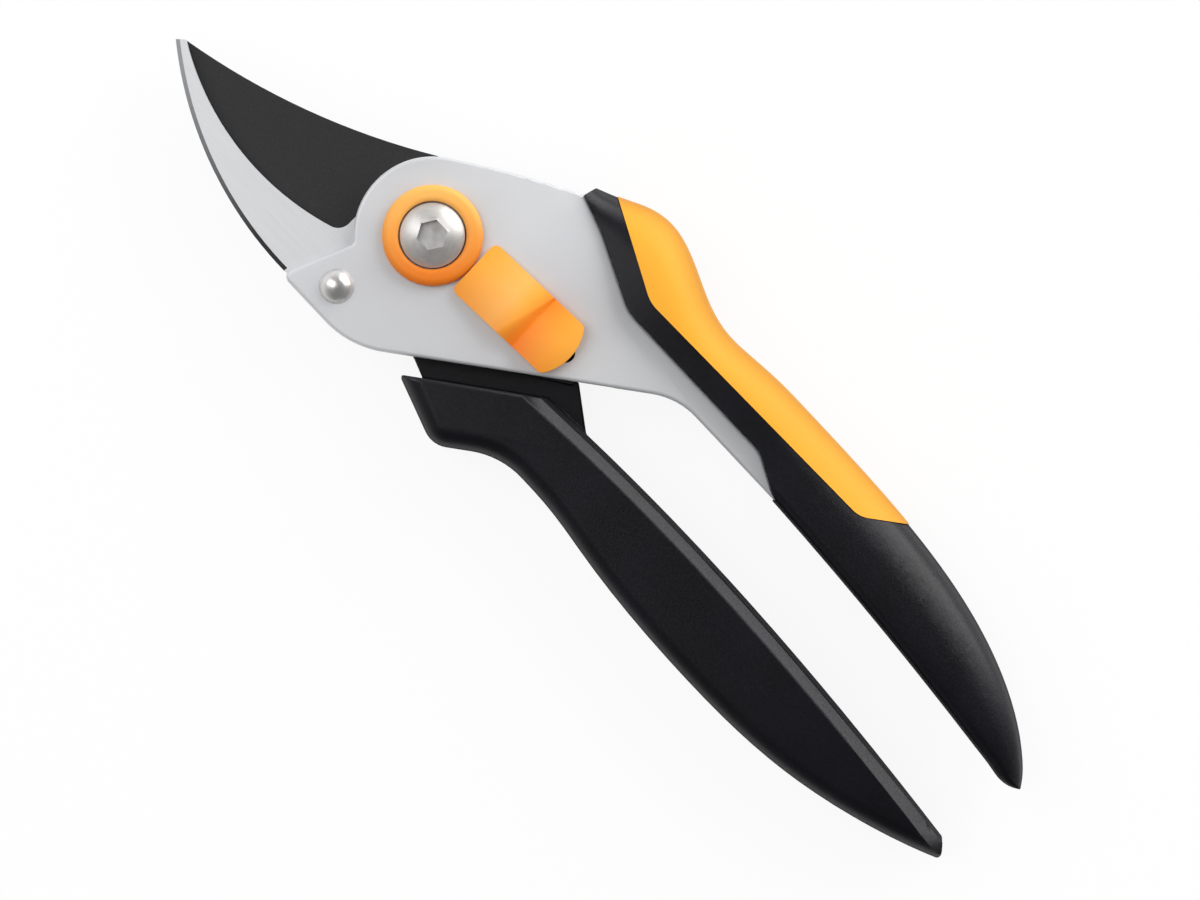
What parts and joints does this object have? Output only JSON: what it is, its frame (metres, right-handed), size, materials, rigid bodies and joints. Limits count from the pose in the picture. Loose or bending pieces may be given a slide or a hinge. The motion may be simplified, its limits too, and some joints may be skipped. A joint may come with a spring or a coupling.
{
  "type": "pruning shears",
  "caption": "One-hand bypass pruning shears: a black blade swings past a fixed hook on a lobed metal head, with a sliding thumb lock and curved handles.",
  "frame": {"origin": "centre of the pivot, on the flat back of the barrel nut that the shears lie on", "axes": "+X along the tool towards the handle ends, +Y towards the upper handle, +Z out of the front face along the pivot"},
  "size_m": [0.2047, 0.0589, 0.0191],
  "materials": {
    "cast_metal": "satin",
    "plate_steel": "ground",
    "polished_steel": "polished",
    "dark_steel": "oiled",
    "spring_steel": "drawn",
    "coated_blade": "matt non-stick coat",
    "black_plastic": "moulded",
    "yellow_grip": "soft",
    "orange_plastic": "moulded",
    "bush_brass": "turned"
  },
  "bodies": {
    "frame": {"body_casting": "cast_metal", "hook_blade": "plate_steel", "hook_rivet": "polished_steel", "upper_handle_shell": "black_plastic", "grip_insert": "yellow_grip", "pivot_ring": "orange_plastic", "pivot_bolt": "polished_steel", "pivot_washer": "dark_steel", "pivot_barrel_nut": "polished_steel", "wear_washer": "bush_brass", "tension_washer": "spring_steel"},
    "lower": {"cutting_blade": "coated_blade", "blade_bush": "bush_brass", "lower_handle": "black_plastic", "tang_rivets": "dark_steel", "opening_spring": "spring_steel"},
    "lock": {"lock_slider": "orange_plastic", "lock_pin": "dark_steel", "lock_keeper": "dark_steel", "lock_drag_spring": "spring_steel"}
  },
  "joints": [
    {"name": "handle_pivot", "type": "hinge", "parent": "frame", "child": "lower", "pos_m": [0, 0, 0], "axis": [0, 0, -1], "range_deg": [0, 30], "deforming": ["opening_spring"]},
    {"name": "lock_slide", "type": "slide", "parent": "frame", "child": "lock", "axis": [0.9981, 0.061, 0], "range_m": [0, 0.004]}
  ]
}
